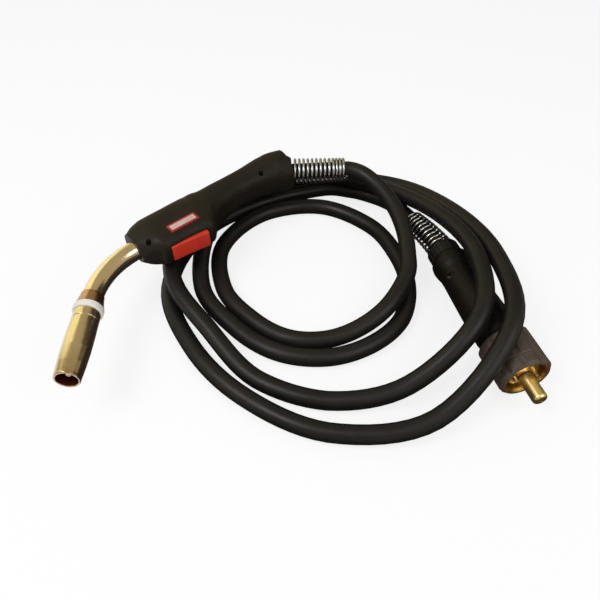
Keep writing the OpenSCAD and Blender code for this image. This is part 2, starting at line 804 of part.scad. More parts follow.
module switch_body() {
    color("black") in_torch() difference() {
        translate([switch_at, switch_q, -switch_w / 2]) cube([switch_len, switch_h, switch_w]);
        translate([plunger_s, switch_q - cut, 0]) rotate([-90, 0, 0])
            cylinder(r = plunger_r + pin_gap, h = 6 + cut, $fn = 32);
    }
}

module switch_plunger() {
    color("red") in_torch() translate([plunger_s, switch_q - plunger_reach, 0]) rotate([-90, 0, 0])
        cylinder(r = plunger_r, h = plunger_reach + 3, $fn = 32);
}

// ---------------------------------------------------------------- swivel ball and springs

module swivel_ball() {
    a = [bundle_path[3][0], bundle_path[3][1], 0];
    b = [bundle_path[4][0], bundle_path[4][1], 0];
    color("dimgray") difference() {
        in_torch() translate([ball_at, 0, 0]) sphere(r = ball_r, $fn = 96);
        along_ball(ball_flat) translate([0, 0, far / 2]) cube([far, far, far], center = true);
        along_ball(ball_flat - ball_bore_depth) cylinder(r = cable_r + slide_gap, h = far);
        in_torch() rod([a, b], bundle_d / 2 + bundle_gap);
    }
}

// Rings of a wound wire. The axis function gives a point and a direction for 0 to 1,
// the place function says how far along each turn lies, and the radius runs from r0 to r1.
function wound(axis, place, r0, r1, turns, wire) =
    let (
        n = turns * 8,
        at = [for (i = [0:n])
            let (
                u = place(i / n),
                p = axis(u),
                side = unit(cross(p[1], [0, 0, 1])),
                up = cross(side, p[1]),
                out = side * cos(i * 45) + up * sin(i * 45)
            )
            [p[0] + out * (r0 + (r1 - r0) * u - wire / 2), out, p[1]]],
        path = concat(
            [[at[0][0] - at[0][2] * wire, at[0][1]]],
            [for (e = at) [e[0], e[1]]],
            [[at[n][0] + at[n][2] * wire, at[n][1]]]
        ),
        last = len(path) - 1
    )
    [for (i = [0:last])
        let (
            back = i == 0 ? path[0][0] - at[0][2] : path[i - 1][0],
            on = i == last ? path[last][0] + at[n][2] : path[i + 1][0],
            along = unit(on - back),
            out = path[i][1],
            over = cross(out, along)
        )
        [for (a = [0:60:300]) path[i][0] + (out * cos(a) + over * sin(a)) * wire / 2]];

ball_centre = concat(torch_plan([ball_at, 0]), [lay_z]);
lead_dir = concat(turned([1, 0], grip_heading - lead_turn), [0]);
spring_from = ball_flat + grip_spring_wire;
spring_run = grip_spring_len - 2 * grip_spring_wire;
open_share = 0.74;   // share of the spring's length that its open turns take
open_turns = 9 / 13; // share of its turns that are open

handle_axis = function(u) [ball_centre + lead_dir * (spring_from + u * spring_run), lead_dir];
open_place = function(x)
    x < open_turns ? x / open_turns * open_share
    : open_share + (x - open_turns) / (1 - open_turns) * (1 - open_share);

module handle_spring() {
    color("gainsboro") skin(wound(
        handle_axis, open_place, grip_spring_od / 2, grip_spring_tail / 2,
        grip_spring_turns, grip_spring_wire
    ));
}

// ---------------------------------------------------------------- lead

// Point of the coil at a clock hour, counted on from the first loop's twelve
function coil_point(hour, r, z) =
    [coil_centre[0] + r * sin(30 * hour), coil_centre[1] + r * cos(30 * hour), z];

hours = [for (loop = [0:len(reach) - 1], k = [0:len(reach[loop]) - 1])
    [(loop == 0 ? first_hour : 12 * loop) + k, reach[loop][k], rise[loop][k]]];
coil = [for (h = hours) coil_point(h[0], h[1], h[2])];
plug_dir = [cos(plug_heading), sin(plug_heading), 0];
spring_end = ball_centre + lead_dir * (ball_flat + grip_spring_len);
route = concat(
    [lead_in[0] - lead_dir * straight_end],
    lead_in, coil, lead_out,
    [plug_at + plug_dir * straight_end]
);
steps_per_hour = 2;
route_end = len(route) - 2;

// Point and direction on the route at point number u
function route_at(u) =
    let (p = spline(route, u), low = [p[0], p[1], max(p[2], cable_r)])
    [low, unit(spline(route, min(u + 0.05, route_end)) - spline(route, max(u - 0.05, 1)))];

// Half height of a strand: full on the coil, and that of a regular hexagon at the ends
function strand_half(u) =
    u > len(lead_in) && u < route_end - 2 ? cable_r : cable_r * cos(30);

function strand_ring(p, along, half) =
    let (side = unit(cross(along, [0, 0, 1])), up = cross(side, along), w = half * strand_flat)
    [p + side * cable_r, p + side * w + up * half, p - side * w + up * half,
     p - side * cable_r, p - side * w - up * half, p + side * w - up * half];

samples = [for (k = [0:(route_end - 1) * steps_per_hour]) 1 + k / steps_per_hour];
centre_line = [for (u = samples) route_at(u)[0]];
cable_start = ball_centre + lead_dir * (ball_flat - ball_bore_depth);
cable_end = plug_at + plug_dir * terminal_at;
full_line = concat([cable_start], centre_line, [cable_end]);
end_half = cable_r * cos(30);

module cable() {
    color([0.1, 0.1, 0.11]) skin(concat(
        [strand_ring(cable_start, lead_dir, end_half),
         strand_ring(lead_in[0] - lead_dir * straight_end, lead_dir, end_half)],
        [for (u = samples) let (p = route_at(u)) strand_ring(p[0], p[1], strand_half(u))],
        [strand_ring(cable_end, plug_dir, end_half)]
    ));
}

// Gap between two strands, square to their flats or to their side faces
function strand_gap(a, b) =
    let (d = b - a, flat = norm([d[0], d[1]]), over = abs(d[2]))
    max(over - cable_od, (flat - cable_od) * cos(edge_tilt) + over * sin(edge_tilt));

least_gap = min([for (i = [0:len(centre_line) - 2], j = [i + 9:1:len(centre_line) - 1])
    strand_gap(centre_line[i], centre_line[j])]);
function total(list, i = 0) =
    i >= len(list) - 1 ? 0 : norm(list[i + 1] - list[i]) + total(list, i + 1);

plug_axis = function(u) route_at(route_end - 2 + 2 * u);
even_place = function(x) plug_lap + x * (1 - plug_lap) * 0.975;
plug_lap = 0.04;

module plug_spring() {
    color("gainsboro") skin(wound(
        plug_axis, even_place, plug_spring_tail / 2, plug_spring_od / 2,
        plug_spring_turns, plug_spring_wire
    ));
}

// ---------------------------------------------------------------- plug

module plug_collar() {
    ribs = 18;
    rib_r = 1;
    outer = waist_od / 2 - 1.6;
    spring_room = plug_spring_od / 2 + 0.5;
    spring_depth = 3;
    color([0.1, 0.1, 0.1]) along_plug() difference() {
        rotate_extrude() polygon([
            [cable_r + slide_gap, spring_depth],
            [spring_room, spring_depth],
            [spring_room, 0],
            [outer - 0.9, 0],
            [outer, 2],
            [outer, collar_len],
            [cable_r + slide_gap, collar_len]
        ]);
        for (i = [0:ribs - 1]) rotate([0, 0, i * 360 / ribs]) translate([outer + rib_r * 0.4, 0, 3])
            cylinder(r = rib_r, h = collar_len, $fn = 24);
    }
}

module plug_housing() {
    b = bulge_od / 2;
    w = waist_od / 2;
    h = housing_od / 2;
    difference() {
        rotate_extrude($fn = 96) polygon([
            [0, collar_len + seat_gap],
            [w - 1.4, collar_len + seat_gap],
            [b - 0.8, collar_len + 5],
            [b, collar_len + 10],
            [b - 0.6, collar_len + 16],
            [w, collar_len + bulge_len],
            [w, collar_len + bulge_len + 8],
            [h, plug_len / 2],
            [h + 1, nose_start - 6],
            [h, nose_start],
            [nose_r, nose_start],
            [nose_r, nose_end],
            [0, nose_end]
        ]);
        translate([0, 0, collar_len]) cylinder(r = cable_r + slide_gap, h = terminal_at - collar_len);
        translate([0, 0, terminal_at - seat_gap])
            cylinder(r = cable_r + seat_gap, h = terminal_len + plug_lead_len + seat_gap);
        translate([0, 0, block_start - seat_gap]) cylinder(r = power_r + seat_gap, h = far);
        translate([0, 0, flange_at]) cylinder(r = flange_r + seat_gap, h = flange_t + seat_gap);
        translate([0, 0, flange_at]) cylinder(d = block_d + 2 * seat_gap, h = far);
        translate([0, 0, nose_end - clip_t]) difference() {
            cylinder(r = nose_r + cut, h = clip_t + cut);
            translate([0, 0, -cut]) cylinder(r = nose_r - 1.5, h = far);
        }
    }
}

module at_shell_screws() {
    for (d = shell_screws, side = [-1, 1])
        translate([0, side * shell_screw_side, d]) rotate([0, -90, 0]) children();
}

module shell_screw_hole(head) {
    translate([0, 0, -shell_screw_depth]) cylinder(d = screw_d, h = 2 * shell_screw_depth, $fn = 32);
    if (head) translate([0, 0, shell_screw_seat])
        cylinder(d = screw_head_d + 2 * seat_gap, h = far, $fn = 48);
}

module plug_half(up) {
    along_plug() difference() {
        plug_housing();
        translate([up ? far / 2 : -far / 2, 0, 0]) cube([far, far, 2 * far], center = true);
        at_shell_screws() shell_screw_hole(up);
    }
}

module plug_shell_upper() {
    color([0.12, 0.11, 0.1]) plug_half(true);
}

module plug_shell_lower() {
    color([0.12, 0.11, 0.1]) plug_half(false);
}

module plug_screws() {
    shank = shell_screw_depth - 0.5;
    color("dimgray") along_plug() at_shell_screws() {
        translate([0, 0, -shank]) cylinder(d = screw_d, h = shank + shell_screw_seat, $fn = 32);
        translate([0, 0, shell_screw_seat]) cylinder(d = screw_head_d, h = screw_head_h, $fn = 48);
    }
}

module cable_terminal() {
    color("goldenrod") along_plug(terminal_at) difference() {
        cylinder(r = cable_r, h = terminal_len);
        translate([0, 0, terminal_len - lead_lap]) cylinder(r = plug_lead_r + seat_gap, h = far);
    }
}

module plug_lead() {
    color("dimgray") along_plug(terminal_at + terminal_len - lead_lap)
        cylinder(r = plug_lead_r, h = plug_lead_len + 2 * lead_lap);
}

module euro_block() {
    color("gold") along_plug() difference() {
        union() {
            translate([0, 0, block_start]) cylinder(r = power_r, h = flange_at - block_start + 1);
            translate([0, 0, flange_at]) cylinder(r = flange_r, h = flange_t);
            translate([0, 0, flange_at]) cylinder(d = block_d, h = block_face - flange_at);
        }
        translate([0, 0, block_start - cut]) cylinder(r = plug_lead_r + seat_gap, h = lead_lap + cut);
        translate([0, 0, block_face - pin_shank - seat_gap])
            cylinder(r = pin_shank_r + pin_gap, h = far);
        for (side = [-1, 1])
            translate([0, side * contact_ring, block_face - contact_depth])
                cylinder(d = contact_d + 2 * pin_gap, h = far, $fn = 32);
    }
}

module euro_pin() {
    wire_hole = 1.5;
    nose = 3;
    r = pin_d / 2;
    reach_out = block_recess + pin_reach;
    color("gold") along_plug(block_face) difference() {
        union() {
            translate([0, 0, -pin_shank]) cylinder(r = pin_shank_r, h = pin_shank);
            rotate_extrude() polygon(concat(
                [[0, 0], [r, 0]],
                [for (a = [0:15:90]) [r - nose + nose * cos(a), reach_out - nose + nose * sin(a)]],
                [[0, reach_out]]
            ));
        }
        translate([0, 0, -pin_shank - cut]) cylinder(r = wire_hole, h = far, $fn = 32);
        rotate_extrude() translate([r, block_recess / 2]) circle(r = 1, $fn = 24);
    }
}

module pin_seal() {
    color("black") along_plug(block_face + block_recess / 2)
        rotate_extrude() translate([pin_d / 2 + 0.1, 0]) circle(r = 0.9, $fn = 24);
}

module contact_pin(side) {
    color("gold") along_plug(block_face - contact_depth + contact_travel + contact_room)
        translate([0, side * contact_ring, 0]) cylinder(
            d = contact_d,
            h = contact_depth - contact_travel - contact_room + contact_stand,
            $fn = 32
        );
}

module contact_pin_a() {
    contact_pin(1);
}

module contact_pin_b() {
    contact_pin(-1);
}

module nut_body() {
    r = nut_od / 2;
    color([0.15, 0.14, 0.13]) along_plug(nut_start) difference() {
        rotate_extrude($fn = 96) polygon([
            [nose_r + slide_gap, 0],
            [r - 2.5, 0],
            [r, 2.5],
            [r, nut_len * 0.68],
            [r - 0.8, nut_len * 0.7],
            [r, nut_len * 0.72],
            [r, nut_len - 3],
            [insert_r + 0.6, nut_len],
            [insert_r, nut_len],
            [insert_r, nut_lip],
            [nose_r + slide_gap, nut_lip]
        ]);
        for (i = [0:flutes - 1])
            rotate([0, 0, (i + 0.5) * 360 / flutes]) translate([r + flute_r * 0.72, 0, -cut])
                cylinder(r = flute_r, h = far, $fn = 48);
    }
}

module nut_insert() {
    color("gold") along_plug(plug_len - insert_len)
        ring(insert_r, thread_d / 2, insert_len, 96);
}

module nut_clip() {
    color("dimgray") along_plug(nose_end - clip_t)
        ring(insert_r - 0.5, nose_r - 1.5 + seat_gap / 2, clip_t - seat_gap);
}

// ---------------------------------------------------------------- assembly

union() {  // cable
    echo(least_gap_of_the_lead_to_itself = least_gap);
    echo(length_of_the_lead = total(full_line));
    echo(spring_end = spring_end);
}
gas_nozzle();
nozzle_clip();
insulator_ring();
neck_ferrule();
gas_diffuser();
tip_holder();
contact_tip();
neck_tube();
neck_insulation();
neck_conductor();
neck_liner();
neck_nut();
power_block();
handle_upper();
handle_lower();
handle_screws();
label_plate();
trigger();
trigger_pin();
trigger_spring();
switch_body();
switch_plunger();
switch_wires();
inner_lead();
swivel_ball();
handle_spring();
cable();
plug_spring();
plug_collar();
plug_shell_upper();
plug_shell_lower();
plug_screws();
cable_terminal();
plug_lead();
euro_block();
euro_pin();
pin_seal();
contact_pin_a();
contact_pin_b();
nut_body();
nut_insert();
nut_clip();
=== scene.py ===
import json
import math

import bmesh
import bpy
from mathutils import Matrix, Vector


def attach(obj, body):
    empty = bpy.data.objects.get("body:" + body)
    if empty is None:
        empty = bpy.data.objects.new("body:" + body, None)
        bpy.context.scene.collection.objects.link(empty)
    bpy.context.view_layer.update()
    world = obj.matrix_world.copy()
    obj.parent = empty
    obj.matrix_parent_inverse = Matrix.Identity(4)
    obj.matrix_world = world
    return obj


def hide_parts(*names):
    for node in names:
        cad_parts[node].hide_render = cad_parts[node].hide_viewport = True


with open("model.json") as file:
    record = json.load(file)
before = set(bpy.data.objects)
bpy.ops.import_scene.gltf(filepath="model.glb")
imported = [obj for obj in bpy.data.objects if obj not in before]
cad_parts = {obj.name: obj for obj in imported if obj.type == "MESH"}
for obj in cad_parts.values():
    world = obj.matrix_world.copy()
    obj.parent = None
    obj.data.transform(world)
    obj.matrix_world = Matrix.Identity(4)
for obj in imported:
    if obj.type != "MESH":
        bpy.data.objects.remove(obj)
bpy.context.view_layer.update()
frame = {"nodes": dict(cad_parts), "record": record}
nodes = frame["nodes"]
scene = bpy.context.scene

# ------------------------------------------------------------------ sizes, in metres

LAY_Z = 0.058
GRIP_HEADING = math.radians(42)
GRIP_MID = 0.108
NECK_R = 0.087
NECK_BEND = math.radians(48)
NECK_TUBE_R = 0.010
NECK_TAIL = 0.012
HANDLE_LEN = 0.199
BALL_AT = 0.1935
BALL_R = 0.020
CABLE_R = 0.009
LEAD_HEADING = math.radians(4)
PLUG_HEADING = math.radians(-73.3)
TERMINAL_AT = 0.020

TORCH = (
    Matrix.Translation((0, 0, LAY_Z))
    @ Matrix.Rotation(GRIP_HEADING, 4, "Z")
    @ Matrix.Translation((-GRIP_MID, 0, 0))
)


def neck_arc(a):
    """A point on the neck's bend, at an angle from its start, in the torch's own directions."""
    return Vector((-NECK_R * math.sin(a), NECK_R * (math.cos(a) - 1), 0))


# ------------------------------------------------------------------ camera

CAMERA_AT = (0.086, -0.4953, 0.4679)
CAMERA_DOWN_DEG = 49
SENSOR_MM = 36.0
PHOTO_PIXELS = 600
FOCAL_PIXELS = 580

camera_data = bpy.data.cameras.new("camera")
camera = bpy.data.objects.new("camera", camera_data)
scene.collection.objects.link(camera)
camera.location = CAMERA_AT
camera.rotation_euler = (math.radians(90 - CAMERA_DOWN_DEG), 0, 0)
camera_data.sensor_fit = "HORIZONTAL"
camera_data.sensor_width = SENSOR_MM
camera_data.lens = SENSOR_MM * FOCAL_PIXELS / PHOTO_PIXELS
camera_data.clip_start = 0.01
scene.camera = camera
scene.view_settings.view_transform = "Standard"

# ------------------------------------------------------------------ cord route

# How far the cable's middle line lies from the coil's centre, and how high, at each hour of a
# clock. The first row starts at 3 and the others at 12.
COIL_CENTRE = (0.111, -0.080)
REACH = [
    [0.086, 0.074, 0.068, 0.069, 0.076, 0.085, 0.106, 0.130, 0.139],
    [0.134, 0.115, 0.097, 0.090, 0.089, 0.087, 0.090, 0.096, 0.105, 0.129, 0.146, 0.166],
    [0.174, 0.158, 0.150, 0.153, 0.160, 0.148, 0.138, 0.132, 0.131, 0.158, 0.180, 0.180],
    [0.190, 0.187, 0.171, 0.173, 0.189, 0.188, 0.170, 0.154, 0.152, 0.164, 0.164, 0.159],
    [0.168],
]
RISE = [
    [0.030, 0.025, 0.016, 0.010, 0.009, 0.009, 0.009, 0.009, 0.009],
    [0.009, 0.009, 0.009, 0.009, 0.009, 0.009, 0.009, 0.009, 0.009, 0.012, 0.028, 0.028],
    [0.028, 0.033, 0.047, 0.058, 0.057, 0.020, 0.009, 0.009, 0.021, 0.029, 0.027, 0.012],
    [0.009, 0.020, 0.042, 0.057, 0.063, 0.020, 0.009, 0.009, 0.009, 0.009, 0.009, 0.009],
    [0.009],
]
LEAD_IN = [
    (0.142, 0.063, 0.058), (0.157, 0.057, 0.057), (0.171, 0.044, 0.054),
    (0.184, 0.025, 0.050), (0.194, 0.002, 0.045), (0.200, -0.024, 0.039),
    (0.201, -0.050, 0.0335),
]
LEAD_OUT = [
    (0.149, 0.085, 0.009), (0.175, 0.074, 0.0095), (0.193, 0.059, 0.012),
    (0.205, 0.040, 0.016), (0.216, 0.017, 0.0195), (0.229, -0.010, 0.0235),
    (0.241, -0.0385, 0.0255),
]
STRAIGHT_END = 0.015
PER_POINT = 8
SLOPE_SPAN = 0.05
CABLE_FROM_BALL = 0.0015

lead_dir = Vector((math.cos(LEAD_HEADING), math.sin(LEAD_HEADING), 0))
plug_dir = Vector((math.cos(PLUG_HEADING), math.sin(PLUG_HEADING), 0))
ball_centre = TORCH @ Vector((BALL_AT, 0, 0))
plug_at = Vector(LEAD_OUT[-1])


def coil_points():
    for loop, (row, heights) in enumerate(zip(REACH, RISE)):
        for k, (r, z) in enumerate(zip(row, heights)):
            a = math.radians(30 * ((3 if loop == 0 else 12 * loop) + k))
            yield Vector((COIL_CENTRE[0] + r * math.sin(a), COIL_CENTRE[1] + r * math.cos(a), z))


route = (
    [Vector(LEAD_IN[0]) - lead_dir * STRAIGHT_END]
    + [Vector(p) for p in LEAD_IN]
    + list(coil_points())
    + [Vector(p) for p in LEAD_OUT]
    + [plug_at + plug_dir * STRAIGHT_END]
)
ROUTE_END = len(route) - 2


def between(a, b, c, d, t):
    """A smooth curve from b to c, at a share t of the way, led by its neighbours a and d."""
    return b + 0.5 * t * (c - a + t * (2 * a - 5 * b + 4 * c - d + t * (3 * (b - c) + d - a)))


def spline(points, u):
    i = min(max(int(math.floor(u)), 1), len(points) - 3)
    return between(*points[i - 1 : i + 3], u - i)


def route_at(u):
    p = spline(route, u)
    ahead = spline(route, min(u + SLOPE_SPAN, ROUTE_END)) - spline(route, max(u - SLOPE_SPAN, 1))
    return Vector((p.x, p.y, max(p.z, CABLE_R))), ahead.normalized()


cable_start = ball_centre + lead_dir * CABLE_FROM_BALL
cable_end = plug_at + plug_dir * TERMINAL_AT
centre_line = (
    [cable_start, Vector(LEAD_IN[0]) - lead_dir * STRAIGHT_END]
    + [route_at(1 + k / PER_POINT)[0] for k in range((ROUTE_END - 1) * PER_POINT + 1)]
    + [cable_end]
)


def wire(name, points, radius, resolution):
    data = bpy.data.curves.new(name, "CURVE")
    data.dimensions = "3D"
    data.bevel_depth = radius
    data.bevel_resolution = resolution
    data.use_fill_caps = True
    strand = data.splines.new("POLY")
    strand.points.add(len(points) - 1)
    for point, place in zip(strand.points, points):
        point.co = (*place, 1)
    strand.use_smooth = True
    piece = bpy.data.objects.new(name, data)
    scene.collection.objects.link(piece)
    return piece


lead = wire("lead", centre_line, CABLE_R, 8)

# ------------------------------------------------------------------ materials


class Graph:
    """A material's node tree, over the piece's own coordinates."""

    def __init__(self, name):
        self.material = bpy.data.materials.new(name)
        self.material.use_nodes = True
        self.tree = self.material.node_tree
        self.tree.nodes.clear()
        self.out = self.tree.nodes.new("ShaderNodeOutputMaterial")
        self.coords = self.tree.nodes.new("ShaderNodeTexCoord").outputs["Object"]

    def put(self, socket, value):
        if isinstance(value, bpy.types.NodeSocket):
            self.tree.links.new(value, socket)
        elif isinstance(value, (tuple, list)) and socket.type == "RGBA" and len(value) == 3:
            socket.default_value = (*value, 1)
        else:
            socket.default_value = value

    def node(self, kind, props=(), **inputs):
        node = self.tree.nodes.new("ShaderNode" + kind)
        for key, value in dict(props).items():
            setattr(node, key, value)
        for key, value in inputs.items():
            self.put(node.inputs[key.replace("_", " ")], value)
        return node

    def math(self, operation, a, b=0.0):
        node = self.node("Math", {"operation": operation})
        self.put(node.inputs[0], a)
        self.put(node.inputs[1], b)
        return node.outputs[0]

    def noise(self, scale, detail=3.0, rough=0.55, stretch=None):
        vector = self.coords
        if stretch:
            vector = self.node("Mapping", Vector=vector, Scale=stretch).outputs[0]
        node = self.node("TexNoise", Vector=vector, Scale=scale, Detail=detail, Roughness=rough)
        return node.outputs["Fac"]

    def ramp(self, value, low, high, to_low=0.0, to_high=1.0):
        node = self.node("MapRange", Value=value)
        self.put(node.inputs["From Min"], low)
        self.put(node.inputs["From Max"], high)
        self.put(node.inputs["To Min"], to_low)
        self.put(node.inputs["To Max"], to_high)
        return node.outputs[0]

    def mix(self, factor, a, b):
        node = self.node("Mix", {"data_type": "RGBA"})
        self.put(node.inputs[0], factor)
        self.put(node.inputs[6], a)
        self.put(node.inputs[7], b)
        return node.outputs[2]

    def bump(self, height, distance, normal=None, strength=1.0):
        node = self.node("Bump", Height=height, Distance=distance, Strength=strength)
        if normal is not None:
            self.put(node.inputs["Normal"], normal)
        return node.outputs[0]

    def edges(self, radius):
        """The normal rounded at edges, and how close to an edge a point is, from 0 to 1."""
        rounded = self.node("Bevel", {"samples": 6}, Radius=radius).outputs[0]
        true = self.node("NewGeometry").outputs["Normal"]
        dot = self.node("VectorMath", {"operation": "DOT_PRODUCT"})
        self.put(dot.inputs[0], rounded)
        self.put(dot.inputs[1], true)
        return rounded, self.ramp(dot.outputs["Value"], 0.995, 0.85)

    def axis_parts(self, origin=(0, 0, 0)):
        moved = self.node("VectorMath", {"operation": "SUBTRACT"})
        self.put(moved.inputs[0], self.coords)
        self.put(moved.inputs[1], origin)
        return self.node("SeparateXYZ", Vector=moved.outputs[0]).outputs

    def finish(self, color, rough, metal=0.0, normal=None, specular=0.5):
        shader = self.node("BsdfPrincipled")
        self.put(shader.inputs["Base Color"], color)
        self.put(shader.inputs["Roughness"], rough)
        shader.inputs["Metallic"].default_value = metal
        shader.inputs["Specular IOR Level"].default_value = specular
        if normal is not None:
            self.put(shader.inputs["Normal"], normal)
        self.tree.links.new(shader.outputs[0], self.out.inputs["Surface"])
        return self.material


def moulded(name, dark, light, rough, grain=2600, depth=0.00005, edge=0.0005, scuff_and_highlight_amount=0.35,
            scuff_and_highlight_color=(0.16, 0.13, 0.11), specular=0.45):
    """Moulded plastic: fine spark grain, faint dust in blotches, edges painted paler, as scuffing and,
    on the trigger, as a painted edge highlight.
    """
    g = Graph(name)
    blotch = g.ramp(g.noise(22, 5, 0.6), 0.35, 0.7)
    speck = g.ramp(g.noise(420, 3), 0.62, 0.75, 0.0, 0.35)
    color = g.mix(blotch, dark, light)
    color = g.mix(speck, color, tuple(min(1, 1.5 * c + 0.01) for c in light))
    rounded, near = g.edges(edge)
    # Edges painted paler: scuffing on most plastics, and a painted edge highlight on the trigger.
    edge_scuff_and_highlight = g.math("MULTIPLY", near, g.ramp(g.noise(160, 4), 0.35, 0.7, 0.0, scuff_and_highlight_amount))
    color = g.mix(edge_scuff_and_highlight, color, scuff_and_highlight_color)
    roughness = g.ramp(g.noise(60, 4), 0.3, 0.7, rough - 0.07, rough + 0.08)
    normal = g.bump(g.noise(grain, 2), depth, rounded, 0.5)
    return g.finish(color, roughness, 0.0, normal, specular)


def metal(name, bright, shade, rough, scratch=(1, 1, 1), scratch_scale=900, smear=0.5, edge=0.0003,
          depth=0.000015, spread=0.08):
    """Bare metal: smeared polish, fine scratches along the stretch, tarnish in blotches."""
    g = Graph(name)
    tarnish = g.ramp(g.noise(55, 5, 0.65), 0.4, 0.72, 0.0, smear)
    color = g.mix(tarnish, bright, shade)
    hairs = g.noise(scratch_scale, 3, 0.6, scratch)
    roughness = g.math("ADD", g.ramp(hairs, 0.3, 0.75, rough - spread / 2, rough + spread / 2),
                       g.math("MULTIPLY", tarnish, 0.12))
    rounded = g.node("Bevel", {"samples": 4}, Radius=edge).outputs[0]
    normal = g.bump(hairs, depth, rounded, 0.4)
    return g.finish(color, roughness, 1.0, normal)


def rubber(name, dark, light, rough, specular=0.35):
    """Smooth lead rubber: faint dust, scuffs, slight waviness from the coiling."""
    g = Graph(name)
    dust = g.ramp(g.noise(16, 6, 0.65), 0.4, 0.75)
    scuff = g.ramp(g.noise(240, 5, 0.7), 0.6, 0.78, 0.0, 0.5)
    color = g.mix(dust, dark, light)
    color = g.mix(scuff, color, tuple(2.2 * c for c in light))
    roughness = g.math("ADD", g.ramp(g.noise(38, 5), 0.3, 0.7, rough - 0.08, rough + 0.08),
                       g.math("MULTIPLY", scuff, 0.2))
    wavy = g.bump(g.noise(34, 2), 0.0006, strength=0.35)
    normal = g.bump(g.noise(1500, 3), 0.00004, wavy, 0.4)
    return g.finish(color, roughness, 0.0, normal, specular)


NOZZLE_REACH = 0.091
BORE_R = 0.0098
BORE_EDGE = 0.0004
HEAT_DEPTH = 0.030
SOOT_DEPTH = 0.006


def nozzle_metal():
    """Plated nozzle: warm polish, heat tint towards the mouth, dark sooty bore."""
    g = Graph("nozzle_metal")
    neck_end = TORCH @ neck_arc(NECK_BEND)
    parts = g.axis_parts((neck_end.x, neck_end.y - NOZZLE_REACH, LAY_Z))
    radius = g.math("SQRT", g.math("ADD", g.math("MULTIPLY", parts[0], parts[0]),
                                   g.math("MULTIPLY", parts[2], parts[2])))
    behind = parts[1]
    bore = g.ramp(radius, BORE_R, BORE_R - BORE_EDGE)
    wobble = g.ramp(g.noise(90, 4), 0.3, 0.7, -0.004, 0.004)
    heat = g.ramp(g.math("ADD", behind, wobble), HEAT_DEPTH, 0.0)
    soot = g.math("MULTIPLY", g.ramp(behind, SOOT_DEPTH, 0.0), g.ramp(g.noise(300, 4), 0.4, 0.65))
    color = g.mix(g.ramp(g.noise(45, 5, 0.65), 0.4, 0.7, 0.0, 0.6), (0.84, 0.74, 0.54),
                  (0.68, 0.56, 0.36))
    color = g.mix(g.math("MULTIPLY", heat, 0.55), color, (0.52, 0.36, 0.22))
    color = g.mix(g.math("MULTIPLY", soot, 0.5), color, (0.16, 0.11, 0.08))
    color = g.mix(bore, color, (0.14, 0.025, 0.016))
    hairs = g.noise(1100, 3, 0.6, (1, 0.08, 1))
    roughness = g.math("ADD", g.ramp(hairs, 0.3, 0.75, 0.16, 0.28), g.math("MULTIPLY", bore, 0.35))
    normal = g.bump(hairs, 0.00001, g.node("Bevel", {"samples": 4}, Radius=0.0003).outputs[0], 0.4)
    return g.finish(color, roughness, 1.0, normal)


LABEL_BORDER_EDGE = 0.00015


def label_face(half_len, half_w, border):
    """Bare label plate: pale field inside a red border."""
    g = Graph("label_pale")
    parts = g.axis_parts()
    along = g.math("SUBTRACT", half_len, g.math("ABSOLUTE", parts[0]))
    across = g.math("SUBTRACT", half_w, g.math("ABSOLUTE", parts[1]))
    inside = g.ramp(g.math("MINIMUM", along, across), border,
                    border + LABEL_BORDER_EDGE)
    field = g.mix(g.ramp(g.noise(300, 4), 0.35, 0.7), (0.56, 0.41, 0.37), (0.46, 0.32, 0.28))
    color = g.mix(inside, (0.27, 0.012, 0.012), field)
    roughness = g.ramp(g.noise(200, 4), 0.3, 0.7, 0.3, 0.45)
    return g.finish(color, roughness, 0.0, g.bump(g.noise(1800, 2), 0.00003, strength=0.3))


handle_plastic = moulded("handle_plastic", (0.0085, 0.0066, 0.0040), (0.0150, 0.0112, 0.0066), 0.52,
                         scuff_and_highlight_color=(0.09, 0.07, 0.05), specular=0.22)
swivel_plastic = moulded("swivel_plastic", (0.006, 0.0055, 0.005), (0.011, 0.0095, 0.008), 0.48,
                         specular=0.25)
plug_plastic = moulded("plug_plastic", (0.0030, 0.0025, 0.0018), (0.0070, 0.0052, 0.0036), 0.46,
                       scuff_and_highlight_color=(0.07, 0.055, 0.045), specular=0.2)
nut_plastic = moulded("nut_plastic", (0.050, 0.036, 0.026), (0.085, 0.060, 0.043), 0.45,
                      scuff_and_highlight_color=(0.3, 0.24, 0.2))
# The trigger's wide, strong, pale red edges are mostly a painted edge highlight, with some scuffing.
trigger_red = moulded("trigger_red", (0.50, 0.020, 0.008), (0.64, 0.042, 0.020), 0.38, 1800,
                      0.00003, 0.0009, 0.75, (0.86, 0.24, 0.14), 0.35)
switch_plastic = moulded("switch_plastic", (0.02, 0.02, 0.02), (0.03, 0.03, 0.03), 0.5)
white_insulator = moulded("white_insulator", (0.80, 0.79, 0.76), (0.66, 0.62, 0.55), 0.42, 1500,
                          0.00004, 0.0005, 0.3, (0.9, 0.9, 0.88))
inner_insulation = moulded("inner_insulation", (0.60, 0.50, 0.36), (0.68, 0.58, 0.42), 0.6)
lead_rubber = rubber("lead_rubber", (0.0065, 0.0065, 0.007), (0.013, 0.0105, 0.009), 0.44, 0.3)
inner_rubber = rubber("inner_rubber", (0.03, 0.03, 0.03), (0.05, 0.047, 0.044), 0.6)
neck_metal = metal("neck_metal", (0.90, 0.79, 0.62), (0.74, 0.58, 0.42), 0.17, (1, 1, 0.3), 900)
nozzle_finish = nozzle_metal()
copper = metal("copper", (0.90, 0.55, 0.42), (0.62, 0.30, 0.20), 0.26)
brass = metal("brass", (1.0, 0.78, 0.36), (0.76, 0.52, 0.21), 0.32, (1, 1, 0.2), 1200)
ferrule_bronze = metal("ferrule_bronze", (0.58, 0.36, 0.23), (0.34, 0.19, 0.12), 0.24)
steel = metal("steel", (0.60, 0.60, 0.60), (0.34, 0.32, 0.30), 0.32)
dark_steel = metal("dark_steel", (0.050, 0.046, 0.042), (0.026, 0.023, 0.020), 0.42)
spring_steel = metal("spring_steel", (0.54, 0.58, 0.64), (0.35, 0.375, 0.41), 0.22)

